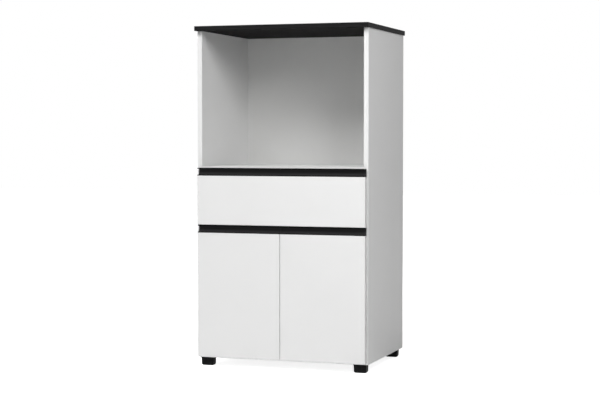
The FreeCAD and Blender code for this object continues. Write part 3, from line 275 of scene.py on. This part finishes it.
def foot_plastic():
    """Black moulded plastic with a sparked grain and rims a shade paler."""
    look = Shader("black_foot_plastic", Specular_IOR_Level=0.04)
    black = (0.012, 0.012, 0.0125)
    rim = (0.020, 0.020, 0.021)
    sparks = look.noise(scale=1700.0, detail=4.0, roughness=0.65)
    look.colour(look.mix(look.edges(radius=0.0010), black, rim))
    look.grain(sparks, rough=(0.42, 0.62), strength=0.35, distance=0.0004)
    return look.material


def cover_plastic():
    """White moulded caps: a fine grain, a soft sheen and rims a shade darker."""
    look = Shader("white_cap_plastic")
    dull = (0.78, 0.78, 0.775)
    clean = (0.82, 0.82, 0.815)
    rim = (0.74, 0.74, 0.73)
    pores = look.noise(scale=1300.0, detail=3.0)
    tone = look.mix(look.noise(scale=60.0), dull, clean)
    look.colour(look.mix(look.edges(radius=0.0003), tone, rim))
    look.grain(pores, rough=(0.34, 0.48), strength=0.12, distance=0.0002)
    return look.material


def roller_nylon():
    """Off-white nylon, a little translucent, with fine moulding grain."""
    look = Shader("nylon", Subsurface_Weight=0.15, Subsurface_Radius=(0.002, 0.002, 0.0015))
    dull = (0.70, 0.69, 0.64)
    clean = (0.78, 0.77, 0.73)
    pores = look.noise(scale=900.0, detail=3.0)
    look.colour(look.mix(look.noise(scale=120.0), dull, clean))
    look.grain(pores, rough=(0.35, 0.5), strength=0.12, distance=0.0002)
    return look.material


def bumper_gel():
    """Soft clear polyurethane with a cloudy body."""
    look = Shader("clear_bumper", Transmission_Weight=0.55, IOR=1.48)
    cloudy = (0.78, 0.79, 0.78)
    clear = (0.88, 0.89, 0.88)
    cloud = look.noise(scale=500.0, detail=3.0)
    look.colour(look.mix(cloud, cloudy, clear))
    look.grain(cloud, rough=(0.22, 0.4), strength=0.1, distance=0.0002)
    return look.material


# Materials of the metals and the dowels

def metal(name, dark, bright, rough, stretch):
    """Metal with a fine grain, stretched per axis, a cloudy tone and wear on its edges."""
    look = Shader(name, Metallic=1.0)
    brush = look.noise(scale=300.0, detail=5.0, roughness=0.6, stretch=stretch)
    worn = look.edges(radius=0.0004)
    tone = look.mix(look.noise(scale=90.0, detail=4.0), dark, bright)
    look.colour(look.mix(worn, tone, bright))
    look.grain(brush, rough, strength=0.1, distance=0.0001)
    return look.material


def hinge_nickel():
    dark = (0.50, 0.485, 0.455)
    bright = (0.66, 0.645, 0.615)
    return metal("nickel_plating", dark, bright, rough=(0.2, 0.36), stretch=(1, 6, 6))


def cam_zinc():
    dark = (0.36, 0.365, 0.38)
    bright = (0.53, 0.535, 0.55)
    return metal("cast_zinc", dark, bright, rough=(0.38, 0.58), stretch=(2, 2, 2))


def screw_steel():
    dark = (0.49, 0.49, 0.47)
    bright = (0.64, 0.64, 0.63)
    return metal("zinc_plated_steel", dark, bright, rough=(0.24, 0.42), stretch=(4, 4, 4))


def rail_paint():
    """Powder coat on sheet steel: orange peel, and darker edges where it is thinner."""
    look = Shader("rail_powder_coat")
    dull = (0.74, 0.735, 0.71)
    clean = (0.79, 0.785, 0.765)
    rim = (0.60, 0.595, 0.58)
    peel = look.noise(scale=520.0, detail=2.0)
    tone = look.mix(look.noise(scale=12.0), dull, clean)
    look.colour(look.mix(look.edges(radius=0.0006), tone, rim))
    look.grain(peel, rough=(0.3, 0.42), strength=0.25, distance=0.0003)
    return look.material


def dowel_wood():
    """Raw beech with long pores."""
    look = Shader("beech")
    dark = (0.50, 0.33, 0.18)
    pale = (0.70, 0.52, 0.33)
    pores = look.noise(scale=160.0, detail=6.0, roughness=0.65, stretch=(0.3, 6.0, 6.0))
    look.colour(look.mix(look.spread(pores, 0.0, 1.0), dark, pale))
    look.grain(pores, rough=(0.55, 0.75), strength=0.4, distance=0.0004)
    return look.material


def dress(slot_materials):
    """Gives every CAD node the material of its slot in the record, and the feet one of their own."""
    slot_of = {row["node"]: row["material_slot"] for row in frame["record"]["subparts"]}
    for name, piece in nodes.items():
        material = slot_materials[slot_of[name]]
        if name.startswith("foot_") and slot_of[name] == "black_plastic":
            material = slot_materials["foot_plastic"]
        piece.data.materials.clear()
        piece.data.materials.append(material)


# Floor, backdrop and light

# Half the floor's side, how far it lies under the feet, and its colour
FLOOR_REACH = 14.0
FLOOR_DROP = 0.0002
FLOOR_TONE = (0.80, 0.80, 0.80, 1)

# The floor's glow: near the cabinet up to the first distance, and far away from the second on
SHADOW_REACH = 0.8
WHITE_REACH = 2.4
NEAR_GLOW = 0.84
FAR_GLOW = 1.0

# Light that the backdrop casts, and how bright it is where it is seen
BACKDROP_LIGHT = 0.04
BACKDROP_SEEN = 1.0


def make_floor():
    """A pale floor: near the cabinet it keeps the shadow, far away it glows as white as the backdrop."""
    mesh = bpy.data.meshes.new("floor")
    corners = [(-FLOOR_REACH, -FLOOR_REACH, 0), (FLOOR_REACH, -FLOOR_REACH, 0),
               (FLOOR_REACH, FLOOR_REACH, 0), (-FLOOR_REACH, FLOOR_REACH, 0)]
    mesh.from_pydata(corners, [], [(0, 1, 2, 3)])
    floor = bpy.data.objects.new("floor", mesh)
    bpy.context.scene.collection.objects.link(floor)
    floor.location.z = -FLOOR_DROP
    material = bpy.data.materials.new("pale_floor")
    floor_nodes = NodeTree(material)
    floor_nodes.tree.nodes.clear()
    matte = floor_nodes.add("ShaderNodeBsdfDiffuse")
    matte.inputs["Color"].default_value = FLOOR_TONE
    glow = floor_nodes.add("ShaderNodeEmission")
    place = floor_nodes.add("ShaderNodeTexCoord")
    distance = floor_nodes.add("ShaderNodeVectorMath", operation="LENGTH")
    floor_nodes.link(place.outputs["Object"], distance.inputs[0])
    level = floor_nodes.spread(distance.outputs["Value"], NEAR_GLOW, FAR_GLOW, SHADOW_REACH, WHITE_REACH)
    strength = floor_nodes.combine("MULTIPLY", floor_nodes.seen_directly(), level)
    floor_nodes.link(strength, glow.inputs["Strength"])
    both = floor_nodes.add("ShaderNodeAddShader")
    floor_nodes.link(matte.outputs["BSDF"], both.inputs[0])
    floor_nodes.link(glow.outputs["Emission"], both.inputs[1])
    out = floor_nodes.add("ShaderNodeOutputMaterial")
    floor_nodes.link(both.outputs["Shader"], out.inputs["Surface"])
    mesh.materials.append(material)


def make_world():
    """A white backdrop where it is seen, and a plain grey light elsewhere."""
    world = bpy.data.worlds.new("studio")
    bpy.context.scene.world = world
    backdrop_nodes = NodeTree(world)
    backdrop_nodes.tree.nodes.clear()
    seen = backdrop_nodes.seen_directly()
    strength = backdrop_nodes.spread(seen, BACKDROP_LIGHT, BACKDROP_SEEN, 0.0, 1.0)
    backdrop = backdrop_nodes.add("ShaderNodeBackground")
    backdrop.inputs["Color"].default_value = (1, 1, 1, 1)
    backdrop_nodes.link(strength, backdrop.inputs["Strength"])
    out = backdrop_nodes.add("ShaderNodeOutputWorld")
    backdrop_nodes.link(backdrop.outputs["Background"], out.inputs["Surface"])


def make_lamp(name, place, target, size, power):
    data = bpy.data.lights.new(name, "AREA")
    data.shape = "RECTANGLE"
    data.size, data.size_y = size
    data.energy = power
    lamp = bpy.data.objects.new(name, data)
    bpy.context.scene.collection.objects.link(lamp)
    lamp.location = place
    lamp.visible_camera = False
    lamp.rotation_mode = "QUATERNION"
    lamp.rotation_quaternion = (Vector(target) - Vector(place)).to_track_quat("-Z", "Y")


make_camera()
dress({
    "white_board": white_board(),
    "black_board": black_board(),
    "back_sheet": back_sheet(),
    "black_plastic": profile_plastic(),
    "foot_plastic": foot_plastic(),
    "rail_paint": rail_paint(),
    "cover_plastic": cover_plastic(),
    "roller_nylon": roller_nylon(),
    "hinge_nickel": hinge_nickel(),
    "cam_zinc": cam_zinc(),
    "screw_steel": screw_steel(),
    "dowel_wood": dowel_wood(),
    "bumper_rubber": bumper_gel(),
})
make_floor()
make_world()
make_lamp("front_softbox", place=(-2.2, -5.0, 5.6), target=(0, -0.2, 0.6), size=(4.0, 3.0), power=350.0)
make_lamp("side_softbox", place=(1.5, -1.7, 1.9), target=(0.3, 0, 0.6), size=(0.9, 0.9), power=28.0)
make_lamp("rear_softbox", place=(-2.0, 2.2, 1.7), target=(0, 0.2, 0.6), size=(1.4, 1.4), power=50.0)
bpy.context.scene.view_settings.view_transform = "Standard"
